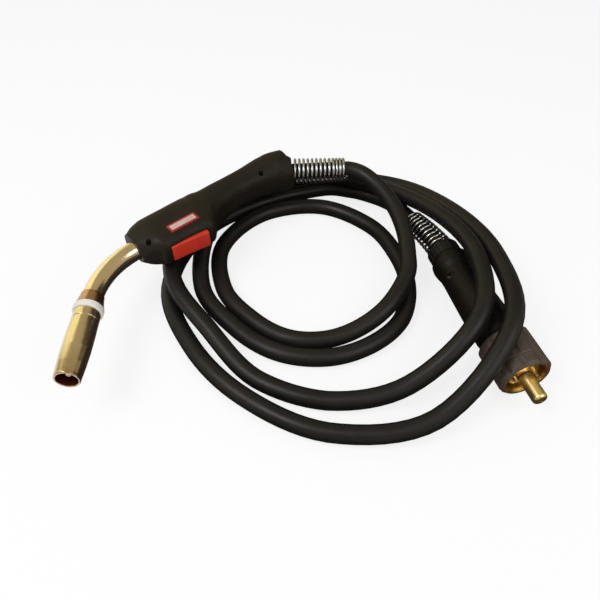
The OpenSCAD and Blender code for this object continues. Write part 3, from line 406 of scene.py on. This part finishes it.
MATERIAL_OF_SLOT = {
    "nozzle_metal": nozzle_finish,
    "white_insulator": white_insulator,
    "neck_metal": neck_metal,
    "copper": copper,
    "brass": brass,
    "inner_insulation": inner_insulation,
    "handle_plastic": handle_plastic,
    "swivel_plastic": swivel_plastic,
    "trigger_red": trigger_red,
    "steel": steel,
    "spring_steel": spring_steel,
    "switch_plastic": switch_plastic,
    "lead_rubber": lead_rubber,
    "inner_rubber": inner_rubber,
    "plug_plastic": plug_plastic,
}
MATERIAL_OF_NODE = {
    "neck_ferrule": ferrule_bronze,
    "handle_screws": dark_steel,
    "nut_body": nut_plastic,
}
for row in frame["record"]["subparts"]:
    material = MATERIAL_OF_NODE.get(row["node"]) or MATERIAL_OF_SLOT.get(row["material_slot"], steel)
    mesh = nodes[row["node"]].data
    mesh.materials.clear()
    mesh.materials.append(material)


def settle(piece, material, slot, body, *replaced):
    """Gives a piece its material, its body and the nodes that it stands for. The slot argument is not
    used.
    """
    piece.data.materials.clear()
    piece.data.materials.append(material)
    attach(piece, body)
    if replaced:
        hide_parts(*replaced)


settle(lead, lead_rubber, "lead_rubber", "torch", "cable")

# ------------------------------------------------------------------ wound springs


def wound(centre, place, r0, r1, turns, wire_d, per_turn=32):
    """Points of a wound wire round a line."""
    count = turns * per_turn
    points = []
    for i in range(count + 1):
        u = place(i / count)
        p, along = centre(u)
        side = along.cross(Vector((0, 0, 1))).normalized()
        up = side.cross(along)
        turn = 2 * math.pi * i / per_turn
        r = r0 + (r1 - r0) * u - wire_d / 2
        points.append(p + (side * math.cos(turn) + up * math.sin(turn)) * r)
    return points


BALL_FLAT = 0.0125
SPRING_LEN = 0.066
SPRING_WIRE = 0.003
SPRING_R = 0.015
SPRING_TAIL_R = 0.0135
SPRING_TURNS = 13
# The first turns of the handle's spring stand apart, and the last ones lie close.
OPEN_SHARE = 0.74
OPEN_TURNS = 9 / 13


def handle_spring_axis(u):
    start = BALL_FLAT + SPRING_WIRE
    return ball_centre + lead_dir * (start + u * (SPRING_LEN - 2 * SPRING_WIRE)), lead_dir


def open_place(x):
    if x < OPEN_TURNS:
        return x / OPEN_TURNS * OPEN_SHARE
    return OPEN_SHARE + (x - OPEN_TURNS) / (1 - OPEN_TURNS) * (1 - OPEN_SHARE)


handle_spring = wire(
    "handle_spring_wire",
    wound(handle_spring_axis, open_place, SPRING_R, SPRING_TAIL_R, SPRING_TURNS, SPRING_WIRE),
    SPRING_WIRE / 2, 4,
)
settle(handle_spring, spring_steel, "spring_steel", "torch", "handle_spring")

PLUG_LAP = 0.04
PLUG_SPRING_SHARE = 0.975
PLUG_SPRING_R = 0.0127
PLUG_SPRING_TAIL_R = 0.015
PLUG_SPRING_TURNS = 10
PLUG_SPRING_WIRE = 0.0022
plug_spring = wire(
    "plug_spring_wire",
    wound(
        lambda u: route_at(ROUTE_END - 2 + 2 * u),
        lambda x: PLUG_LAP + x * (1 - PLUG_LAP) * PLUG_SPRING_SHARE,
        PLUG_SPRING_R, PLUG_SPRING_TAIL_R, PLUG_SPRING_TURNS, PLUG_SPRING_WIRE,
    ),
    PLUG_SPRING_WIRE / 2, 4,
)
settle(plug_spring, spring_steel, "spring_steel", "torch", "plug_spring")

# ------------------------------------------------------------------ neck tube

NECK_STEPS = 48
NECK_NOSE = 0.0019

neck_points = [Vector((NECK_TAIL, 0, 0))]
neck_points += [neck_arc(NECK_BEND * step / NECK_STEPS) for step in range(NECK_STEPS + 1)]
nose_dir = Vector((-math.cos(NECK_BEND), -math.sin(NECK_BEND), 0))
neck_points.append(neck_points[-1] + nose_dir * NECK_NOSE)
neck = wire("neck_skin", [TORCH @ p for p in neck_points], NECK_TUBE_R, 14)
settle(neck, neck_metal, "neck_metal", "torch", "neck_tube")

# ------------------------------------------------------------------ handle shells

TRIGGER_AT = 0.025
TRIGGER_LEN = 0.042
TRIGGER_END = TRIGGER_AT + TRIGGER_LEN
TRIGGER_W = 0.018
SLOT_Q = -0.0198
# Sections of the handle: place along it, front edge, back edge, half height and squareness.
SECTIONS = [
    (0.000, -0.0140, 0.0200, 0.0128, 2.6),
    (0.003, -0.0165, 0.0205, 0.0150, 2.6),
    (0.008, -0.0200, 0.0215, 0.0168, 3.4),
    (0.015, -0.0250, 0.0235, 0.0183, 3.4),
    (0.022, -0.0300, 0.0250, 0.0188, 3.4),
    (0.046, -0.0305, 0.0255, 0.0188, 3.4),
    (0.068, -0.0325, 0.0260, 0.0188, 3.4),
    (0.075, -0.0335, 0.0260, 0.0184, 3.4),
    (0.083, -0.0255, 0.0260, 0.0180, 3.4),
    (0.093, -0.0170, 0.0257, 0.0175, 2.6),
    (0.109, -0.0100, 0.0253, 0.0175, 2.6),
    (0.129, -0.0080, 0.0250, 0.0175, 2.6),
    (0.150, -0.0090, 0.0255, 0.0180, 2.6),
    (0.166, -0.0115, 0.0265, 0.0195, 2.6),
    (0.178, -0.0170, 0.0275, 0.0220, 2.2),
    (0.188, -0.0220, 0.0260, 0.0240, 2.2),
    (0.207, -0.0230, 0.0190, 0.0240, 2.2),
]
RING_POINTS = 56
RINGS_PER_SECTION = 14
DRUM_SIDES = 64
BALL_SIDES = 96
BALL_RINGS = 64
SCREWS = [(0.0096, -0.0146), (0.162, -0.0036)]
LABEL_AT = (0.050, -0.0154)
LABEL_LEN = 0.034
LABEL_W = 0.012
LABEL_FLOOR = 0.0174
LABEL_THICK = 0.0012
LABEL_CORNER = 0.0008
LABEL_EDGE = 0.0003
LABEL_GAP = 0.0001
LABEL_BORDER = 0.0024
RIM_TURN = math.radians(10)
STEP_AT = 0.0746
STEP_MID = -0.005
STEP_KNEE = -0.020
STEP_LEAN = 0.173
STEP_FRONT_LEAN = 0.235
STEP_FRONT_SHIFT = 0.0009
STEP_DEPTH = 0.0007
STEP_SOFT = 0.0006
STEP_ACROSS = (0.002, 0.007)
STEP_UP = (0.004, 0.012)
STEP_FADE = (0.095, 0.125)
CUT_FAR = 0.2
NECK_GAP = 0.0002
NECK_CUT = (-0.02, 0.05)
BALL_GAP = 0.0004
TRIGGER_GAP = 0.0003
TRIGGER_FRONT_GAP = 0.0005
TRIGGER_REAR_GAP = 0.0012
SCREW_HOLE_R = 0.0029
SCREW_HOLE_FLOOR = 0.010


def new_mesh(name, build):
    mesh = bpy.data.meshes.new(name)
    shape = bmesh.new()
    build(shape)
    bmesh.ops.recalc_face_normals(shape, faces=shape.faces)
    shape.to_mesh(mesh)
    shape.free()
    piece = bpy.data.objects.new(name, mesh)
    scene.collection.objects.link(piece)
    return piece


section_rows = [Vector(row) for row in SECTIONS]
section_rows.insert(0, 2 * section_rows[0] - section_rows[1])
section_rows.append(2 * section_rows[-1] - section_rows[-2])


def section_at(u):
    i = min(max(int(math.floor(u)), 0), len(SECTIONS) - 2)
    return between(*section_rows[i : i + 4], u - i)


def smooth(x, low, high):
    t = min(max((x - low) / (high - low), 0), 1)
    return t * t * (3 - 2 * t)


def step_line(q):
    """Where the raised trigger housing ends on the handle's broad face."""
    if q > STEP_KNEE:
        return STEP_AT + (q - STEP_MID) * STEP_LEAN
    return STEP_AT + (q - STEP_MID) * STEP_FRONT_LEAN + STEP_FRONT_SHIFT


def shell(sign):
    def build(shape):
        rings = []
        total = (len(SECTIONS) - 1) * RINGS_PER_SECTION
        for k in range(total + 1):
            s, front, back, half, square = section_at(k / RINGS_PER_SECTION)
            mid, wide, e = (front + back) / 2, (back - front) / 2, 2 / square
            ring = []
            for i in range(RING_POINTS + 1):
                a = math.pi * (1 - i / RING_POINTS)
                ca, sa = math.cos(a), math.sin(a)
                q = mid + wide * math.copysign(abs(ca) ** e, ca)
                z = half * max(sa, 0) ** e
                edge = step_line(q)
                sunk = smooth(-q, *STEP_ACROSS) * smooth(s, edge - STEP_SOFT, edge + STEP_SOFT)
                z -= STEP_DEPTH * sunk * smooth(z, *STEP_UP) * (1 - smooth(s, *STEP_FADE))
                ring.append(shape.verts.new((s, q, sign * z)))
            rings.append(ring)
        for a, b in zip(rings, rings[1:]):
            for i in range(RING_POINTS):
                shape.faces.new((a[i], a[i + 1], b[i + 1], b[i]))
            shape.faces.new((a[0], b[0], b[-1], a[-1]))
        shape.faces.new(rings[0])
        shape.faces.new(rings[-1])

    return new_mesh("shell_upper" if sign > 0 else "shell_lower", build)


def block(name, low, high, matrix=Matrix.Identity(4)):
    def build(shape):
        bmesh.ops.create_cube(shape, size=1)
        for v in shape.verts:
            v.co = matrix @ Vector([low[k] + (v.co[k] + 0.5) * (high[k] - low[k]) for k in range(3)])

    return new_mesh(name, build)


def drum(name, radius, low, high, place):
    """A round bar along its own Z from low to high."""

    def build(shape):
        bmesh.ops.create_cone(shape, cap_ends=True, segments=DRUM_SIDES, radius1=radius, radius2=radius,
                              depth=high - low)
        for v in shape.verts:
            v.co = place @ (v.co + Vector((0, 0, (low + high) / 2)))

    return new_mesh(name, build)


def ball(name, radius, centre):
    def build(shape):
        bmesh.ops.create_uvsphere(shape, u_segments=BALL_SIDES, v_segments=BALL_RINGS, radius=radius)
        for v in shape.verts:
            v.co += Vector(centre)

    return new_mesh(name, build)


def bake(piece):
    """Makes what a piece's modifiers show into its mesh."""
    shown = piece.evaluated_get(bpy.context.evaluated_depsgraph_get())
    made = bpy.data.meshes.new_from_object(shown)
    piece.modifiers.clear()
    piece.data = made


def carve(piece, cutters):
    """Cuts solids out of a piece, and leaves none of them behind."""
    for cutter in cutters:
        tool = piece.modifiers.new("cut", "BOOLEAN")
        tool.operation = "DIFFERENCE"
        tool.solver = "EXACT"
        tool.object = cutter
    bake(piece)
    for cutter in cutters:
        bpy.data.objects.remove(cutter)
    return piece


def soften(piece, angle=32):
    piece.data.shade_smooth()
    piece.data.set_sharp_from_angle(angle=math.radians(angle))
    return piece


ALONG_S = Matrix.Rotation(math.radians(90), 4, "Y")


def handle_cutters(sign):
    rim = Matrix.Translation((HANDLE_LEN, 0, 0)) @ Matrix.Rotation(-RIM_TURN, 4, "Z")
    slot_half = TRIGGER_W / 2 + TRIGGER_GAP
    cutters = [
        block("cut_rim", (0, -CUT_FAR, -CUT_FAR), (CUT_FAR, CUT_FAR, CUT_FAR), rim),
        drum("cut_neck", NECK_TUBE_R + NECK_GAP, *NECK_CUT, ALONG_S),
        ball("cut_ball", BALL_R + BALL_GAP, (BALL_AT, 0, 0)),
        block("cut_trigger", (TRIGGER_AT - TRIGGER_FRONT_GAP, -CUT_FAR, -slot_half),
              (TRIGGER_END + TRIGGER_REAR_GAP, SLOT_Q, slot_half)),
    ]
    if sign > 0:
        for i, (s, q) in enumerate(SCREWS):
            place = Matrix.Translation((s, q, 0))
            cutters.append(drum(f"cut_screw_{i}", SCREW_HOLE_R, SCREW_HOLE_FLOOR, CUT_FAR, place))
        cutters.append(block(
            "cut_label",
            (LABEL_AT[0] - LABEL_LEN / 2, LABEL_AT[1] - LABEL_W / 2, LABEL_FLOOR),
            (LABEL_AT[0] + LABEL_LEN / 2, LABEL_AT[1] + LABEL_W / 2, CUT_FAR),
        ))
    return cutters


for sign, node in ((1, "handle_upper"), (-1, "handle_lower")):
    half = soften(carve(shell(sign), handle_cutters(sign)))
    half.data.transform(TORCH)
    settle(half, handle_plastic, "handle_plastic", "torch", node)


# ------------------------------------------------------------------ label and trigger


def rounded_plate(name, half_len, half_w, radius, thick, edge):
    def build(shape):
        corners = []
        for cx, cy, start in ((1, 1, 0), (-1, 1, 90), (-1, -1, 180), (1, -1, 270)):
            for k in range(9):
                a = math.radians(start + 90 * k / 8)
                corners.append((cx * (half_len - radius) + radius * math.cos(a),
                                cy * (half_w - radius) + radius * math.sin(a)))
        levels = [(0, 0), (thick - edge, 0), (thick - edge * 0.3, edge * 0.3), (thick, edge)]
        rings = [[shape.verts.new((x * (1 - inset / half_len), y * (1 - inset / half_w), z))
                  for x, y in corners] for z, inset in levels]
        for a, b in zip(rings, rings[1:]):
            for i in range(len(a)):
                j = (i + 1) % len(a)
                shape.faces.new((a[i], a[j], b[j], b[i]))
        shape.faces.new(rings[0])
        shape.faces.new(rings[-1])

    return new_mesh(name, build)


label = soften(rounded_plate("label_blank", LABEL_LEN / 2 - LABEL_GAP, LABEL_W / 2 - LABEL_GAP,
                             LABEL_CORNER, LABEL_THICK, LABEL_EDGE))
label.matrix_world = TORCH @ Matrix.Translation((LABEL_AT[0], LABEL_AT[1], LABEL_FLOOR))
settle(label, label_face(LABEL_LEN / 2, LABEL_W / 2, LABEL_BORDER), "label_pale", "torch",
       "label_plate")

TRIGGER_ROUND = 0.0012
# The trigger from the side: places along the handle and out from it.
TRIGGER_OUTLINE = [
    (0.0250, -0.0230), (0.0250, -0.0292), (0.0255, -0.0304), (0.0270, -0.0312),
    (0.0397, -0.0324), (0.0544, -0.0346), (0.0640, -0.0366), (0.0658, -0.0366), (0.0668, -0.0356),
    (0.0670, -0.0340), (0.0670, -0.0240), (0.0310, -0.0240), (0.0300, -0.0230),
]


def trigger_skin():
    def build(shape):
        half = TRIGGER_W / 2
        low = [shape.verts.new((s, q, -half)) for s, q in TRIGGER_OUTLINE]
        high = [shape.verts.new((s, q, half)) for s, q in TRIGGER_OUTLINE]
        count = len(low)
        for i in range(count):
            j = (i + 1) % count
            shape.faces.new((low[i], low[j], high[j], high[i]))
        shape.faces.new(low)
        shape.faces.new(high)

    piece = new_mesh("trigger_skin", build)
    tool = piece.modifiers.new("round", "BEVEL")
    tool.width = TRIGGER_ROUND
    tool.segments = 4
    tool.limit_method = "ANGLE"
    tool.angle_limit = math.radians(40)
    bake(piece)
    return soften(piece, 40)


trigger = trigger_skin()
trigger.data.transform(TORCH)
settle(trigger, trigger_red, "trigger_red", "trigger", "trigger")

# ------------------------------------------------------------------ floor, world and lamps

FLOOR_HALF = 3.0
FLOOR_THICK = 0.001
FLOOR_GLOW = 0.8
WORLD_DIM = 0.55
GLOSSY_TINT = (0.41, 0.335, 0.195, 1)

floor = block("floor", (-FLOOR_HALF, -FLOOR_HALF, -FLOOR_THICK), (FLOOR_HALF, FLOOR_HALF, 0.0))
g = Graph("floor_pale")
is_camera = g.node("LightPath").outputs["Is Camera Ray"]
paper = g.node("BsdfDiffuse", Color=(0.86, 0.86, 0.86))
glow = g.node("Emission", Color=(1.0, 1.0, 1.0), Strength=1.0)
blend = g.node("MixShader")
g.put(blend.inputs[0], g.math("MULTIPLY", is_camera, FLOOR_GLOW))
g.put(blend.inputs[1], paper.outputs[0])
g.put(blend.inputs[2], glow.outputs[0])
g.tree.links.new(blend.outputs[0], g.out.inputs["Surface"])
floor.data.materials.append(g.material)

# The camera, reflections and clear materials see the world at full strength, and the light that
# it throws is weaker. Reflections see it tinted.
world = bpy.data.worlds.new("studio")
scene.world = world
world.use_nodes = True
tree = world.node_tree
tree.nodes.clear()
world_out = tree.nodes.new("ShaderNodeOutputWorld")
paths = tree.nodes.new("ShaderNodeLightPath")
seen = tree.nodes.new("ShaderNodeMath")
seen.operation = "MAXIMUM"
tree.links.new(paths.outputs["Is Camera Ray"], seen.inputs[0])
seen_through = tree.nodes.new("ShaderNodeMath")
seen_through.operation = "MAXIMUM"
tree.links.new(seen.outputs[0], seen_through.inputs[0])
tree.links.new(paths.outputs["Is Transmission Ray"], seen_through.inputs[1])
tree.links.new(paths.outputs["Is Glossy Ray"], seen.inputs[1])
strength = tree.nodes.new("ShaderNodeMapRange")
tree.links.new(seen_through.outputs[0], strength.inputs["Value"])
strength.inputs["To Min"].default_value = WORLD_DIM
strength.inputs["To Max"].default_value = 1.0
tint = tree.nodes.new("ShaderNodeMix")
tint.data_type = "RGBA"
tree.links.new(paths.outputs["Is Glossy Ray"], tint.inputs[0])
tint.inputs[6].default_value = (1, 1, 1, 1)
tint.inputs[7].default_value = GLOSSY_TINT
sky = tree.nodes.new("ShaderNodeBackground")
tree.links.new(tint.outputs[2], sky.inputs["Color"])
tree.links.new(strength.outputs[0], sky.inputs["Strength"])
tree.links.new(sky.outputs[0], world_out.inputs["Surface"])


def lamp(name, place, target, size, energy):
    data = bpy.data.lights.new(name, "AREA")
    data.shape = "RECTANGLE"
    data.size, data.size_y = size
    data.energy = energy
    piece = bpy.data.objects.new(name, data)
    scene.collection.objects.link(piece)
    piece.location = place
    piece.rotation_euler = (Vector(target) - Vector(place)).to_track_quat("-Z", "Y").to_euler()


lamp("key", place=(-0.7, -0.5, 1.3), target=(0.05, -0.05, 0), size=(0.7, 0.7), energy=11)
lamp("fill", place=(0.9, -0.7, 1.0), target=(0.1, -0.1, 0), size=(0.8, 0.8), energy=5)


def card(name, low, high, color):
    """A matt card that only reflections see."""
    piece = block(name, low, high)
    graph = Graph(name)
    shader = graph.node("Emission", Color=color, Strength=1.0)
    graph.tree.links.new(shader.outputs[0], graph.out.inputs["Surface"])
    piece.data.materials.append(graph.material)
    piece.visible_camera = False
    piece.visible_diffuse = False
    piece.visible_shadow = False
    piece.visible_transmission = False


card("card_left", low=(-2.6, 1.2, 0.02), high=(-0.75, 1.22, 2.0), color=(1.15, 1.03, 0.55))
card("card_right", low=(0.55, 1.2, 0.02), high=(2.6, 1.22, 1.4), color=(0.055, 0.040, 0.026))
card("card_floor", low=(-0.098, -0.42, 0.0004), high=(0.60, 0.30, 0.0008),
     color=(0.040, 0.032, 0.025))
